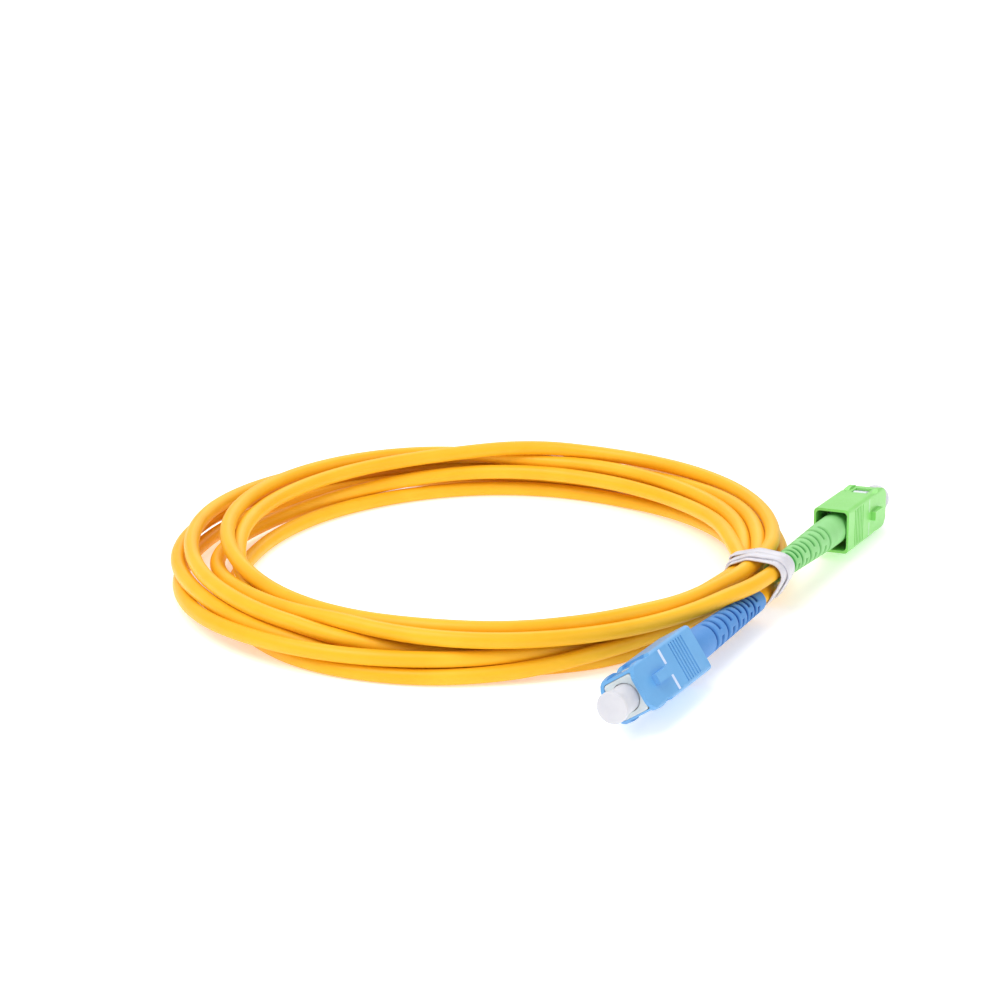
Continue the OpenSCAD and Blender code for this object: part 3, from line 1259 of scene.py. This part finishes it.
@dataclass
class Plug:
    """One plug's looks: its boot, cap and marks, and its moulded shell's softened edges."""

    side: str
    lie: Lie
    rubber: Finish
    ink: Finish

    def build(self) -> None:
        """Make the plug's own pieces and soften the moulded nodes' edges."""
        Boot(self.lie, self.side, self.rubber).build()
        Spring(self.lie, self.side).build()
        BufferFibre(self.lie, self.side).build()
        DustCap(self.lie, self.side).build()
        IndexMarks(self.lie, self.side, self.ink).build()
        self._soften("housing", 0.12)
        self._soften("plug_frame", 0.1)
        LOG.info("plug: %s", self.side)

    def _soften(self, node: str, width: float) -> None:
        """Round a moulded node's edges.

        Args:
            node: The node's name without its side.
            width: The rounding's width, in mm.
        """
        shell = frame["nodes"][f"{self.side}_{node}"]
        weld = shell.modifiers.new("weld", "WELD")
        weld.merge_threshold = WELD_GAP * MM
        bevel = shell.modifiers.new("soft_edges", "BEVEL")
        bevel.width = width * MM
        bevel.segments = 3
        bevel.limit_method = "ANGLE"
        bevel.angle_limit = math.radians(SHARP_ANGLE)
        bevel.harden_normals = True


# ---- Studio ----


@dataclass
class Studio:
    """The camera, the pale floor and the soft lights."""

    camera_place: Point = (-49.2, -457.6, 176.6)
    camera_dip: float = 18.47
    lens: float = 92.8
    floor_size: float = 6.0
    floor_glow: float = 0.35

    def aim(self) -> bpy.types.Object:
        """Make the scene's camera.

        Returns:
            The camera.
        """
        data = bpy.data.cameras.new("camera")
        data.lens = self.lens
        data.sensor_width = 36.0
        data.clip_start = 0.01
        camera = bpy.data.objects.new("camera", data)
        camera.location = Vector(self.camera_place) * MM
        camera.rotation_euler = (math.radians(90 - self.camera_dip), 0.0, 0.0)
        bpy.context.scene.collection.objects.link(camera)
        bpy.context.scene.camera = camera
        return camera

    def light(self) -> None:
        """Lay the floor and hang the lights."""
        self._floor()
        self._lamp("key_light", (-0.45, -0.25, 0.9), 0.7, 5.7)
        self._lamp("fill_light", (0.75, -0.55, 0.6), 0.8, 2.2)
        self._lamp("back_light", (0.1, 0.9, 0.8), 0.8, 3.2)
        world = bpy.data.worlds.new("studio")
        world.use_nodes = True
        sky = world.node_tree.nodes["Background"]
        sky.inputs["Color"].default_value = (1.0, 1.0, 1.0, 1.0)
        sky.inputs["Strength"].default_value = 0.6
        bpy.context.scene.world = world
        bpy.context.scene.view_settings.view_transform = "Standard"

    def _floor(self) -> None:
        """Lay the pale floor."""
        half = self.floor_size / 2 / MM
        corners = [(-half, -half, 0), (half, -half, 0), (half, half, 0), (-half, half, 0)]
        paper = Finish(
            "studio_paper", "", (0.93, 0.93, 0.93), (0.95, 0.95, 0.95), roughness=0.7,
            relief=0.0, grain_size=1.0, patch_size=60.0,
        )
        floor = piece("studio_floor", corners, [(0, 1, 2, 3)], paper)
        shader = floor.data.materials[0].node_tree.nodes["Principled BSDF"]
        shader.inputs["Emission Color"].default_value = (1.0, 1.0, 1.0, 1.0)
        shader.inputs["Emission Strength"].default_value = self.floor_glow

    def _lamp(self, name: str, place: Point, size: float, power: float) -> None:
        """Hang one soft lamp that faces the coil.

        Args:
            name: The lamp's name.
            place: Where it hangs, in metres.
            size: Its width, in metres.
            power: Its power, in watts.
        """
        data = bpy.data.lights.new(name, "AREA")
        data.size = size
        data.energy = power
        lamp = bpy.data.objects.new(name, data)
        lamp.location = place
        aim = Vector((-0.03, 0.0, 0.0)) - Vector(place)
        lamp.rotation_euler = aim.to_track_quat("-Z", "Y").to_euler()
        bpy.context.scene.collection.objects.link(lamp)


def dress_nodes() -> None:
    """Give every carried-over CAD node its finish."""
    finishes = {
        "tie": TIE_FILM, "blue_housing": BLUE_SHELL, "green_housing": GREEN_SHELL,
        "blue_boot": BLUE_RUBBER, "green_boot": GREEN_RUBBER, "frame": WHITE_FRAME,
        "cap": CAP_SOFT, "ferrule": CERAMIC, "nickel": NICKEL, "steel": SPRING_STEEL,
        "crimp": CRIMP_METAL, "aramid": YARN, "buffer": TIGHT_BUFFER, "cord": JACKET,
    }
    for part in frame["record"]["subparts"]:
        node = frame["nodes"][part["node"]]
        node.data.materials.clear()
        node.data.materials.append(finishes[part["material_slot"]].material())


def main() -> None:
    """Build the scene in order."""
    logging.basicConfig(level=logging.INFO, format="%(message)s")
    studio = Studio()
    studio.aim()
    cord = Cord()
    cord.build()
    dress_nodes()
    Tie(cord.line).build()
    Plug("blue", BLUE_LIE, BLUE_RUBBER, WHITE_INK).build()
    Plug("green", GREEN_LIE, GREEN_RUBBER, GREEN_INK).build()
    studio.light()


if __name__ == "__main__":
    main()
